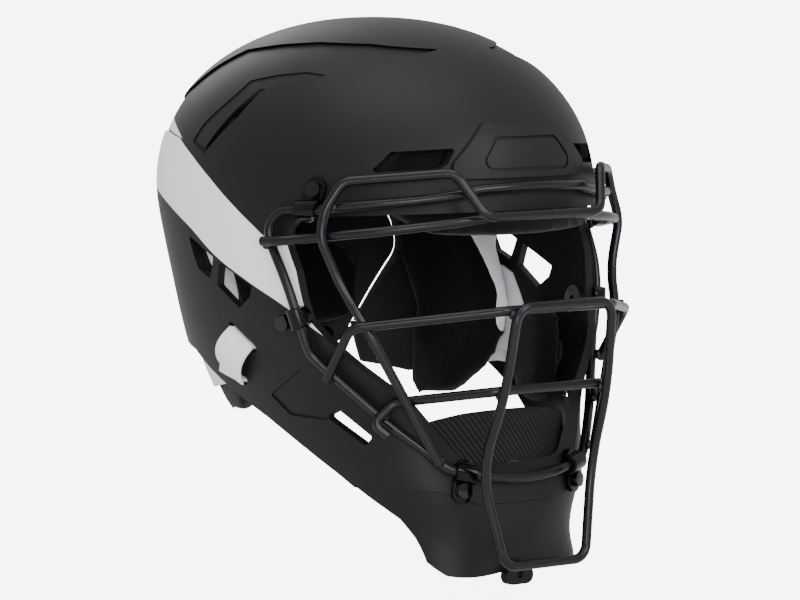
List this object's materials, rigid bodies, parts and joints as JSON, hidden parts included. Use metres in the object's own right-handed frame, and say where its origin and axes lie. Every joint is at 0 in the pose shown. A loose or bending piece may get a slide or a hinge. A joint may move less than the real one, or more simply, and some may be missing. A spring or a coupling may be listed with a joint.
{
  "type": "baseball catcher helmet",
  "caption": "Hockey-style catcher's helmet: one-piece shell with chin bar, clipped-on wire cage, foam pads, elastic straps and a back plate that swings out.",
  "frame": {"origin": "middle of the wearer's head, level with the ears", "axes": "-Y out of the face, +X to the wearer's left, +Z to the crown"},
  "size_m": [0.228, 0.2871, 0.288],
  "materials": {
    "shell_plastic": "satin, very dark grey",
    "cage_wire": "glossy black coating on steel wire",
    "clip_plastic": "glossy black",
    "screw_steel": "black oxide",
    "nut_steel": "zinc plated",
    "pad_cloth": "black knit over foam",
    "chin_cloth": "black ribbed mesh over foam",
    "fastener_tape": "hook-and-loop tape",
    "strap_elastic": "white woven elastic",
    "rivet_metal": "black"
  },
  "bodies": {
    "helmet": {"outer_shell": "shell_plastic", "cage_perimeter_wire": "cage_wire", "cage_lower_brow_bar": "cage_wire", "cage_visor_wire": "cage_wire", "cage_eye_bar": "cage_wire", "cage_mouth_bar": "cage_wire", "cage_front_loop": "cage_wire", "clip_screws": "screw_steel", "clip_nuts": "nut_steel", "forehead_pad": "pad_cloth", "crown_pad": "pad_cloth", "chin_pad": "chin_cloth", "shell_pad_dots": "fastener_tape", "top_strap": "strap_elastic", "shell_rivet": "rivet_metal", "upper_clip_left": "clip_plastic", "cheek_clip_left": "clip_plastic", "chin_clip_left": "clip_plastic", "upper_side_pad_left": "pad_cloth", "rear_side_pad_left": "pad_cloth", "jaw_pad_left": "pad_cloth", "side_strap_left": "strap_elastic", "upper_clip_right": "clip_plastic", "cheek_clip_right": "clip_plastic", "chin_clip_right": "clip_plastic", "upper_side_pad_right": "pad_cloth", "rear_side_pad_right": "pad_cloth", "jaw_pad_right": "pad_cloth", "side_strap_right": "strap_elastic"},
    "back_plate": {"back_plate": "shell_plastic", "back_plate_pad": "pad_cloth", "nape_pad": "pad_cloth", "back_plate_pad_dots": "fastener_tape", "back_plate_rivets": "rivet_metal"}
  },
  "joints": [
    {"name": "back_plate_swing", "type": "hinge", "parent": "helmet", "child": "back_plate", "pos_m": [0, 0.1325, 0.053], "axis": [1, 0, 0], "range_deg": [0, 20], "stiffness_Nm_per_rad": 0.6, "deforming": ["side_strap_left", "side_strap_right", "top_strap"]}
  ]
}
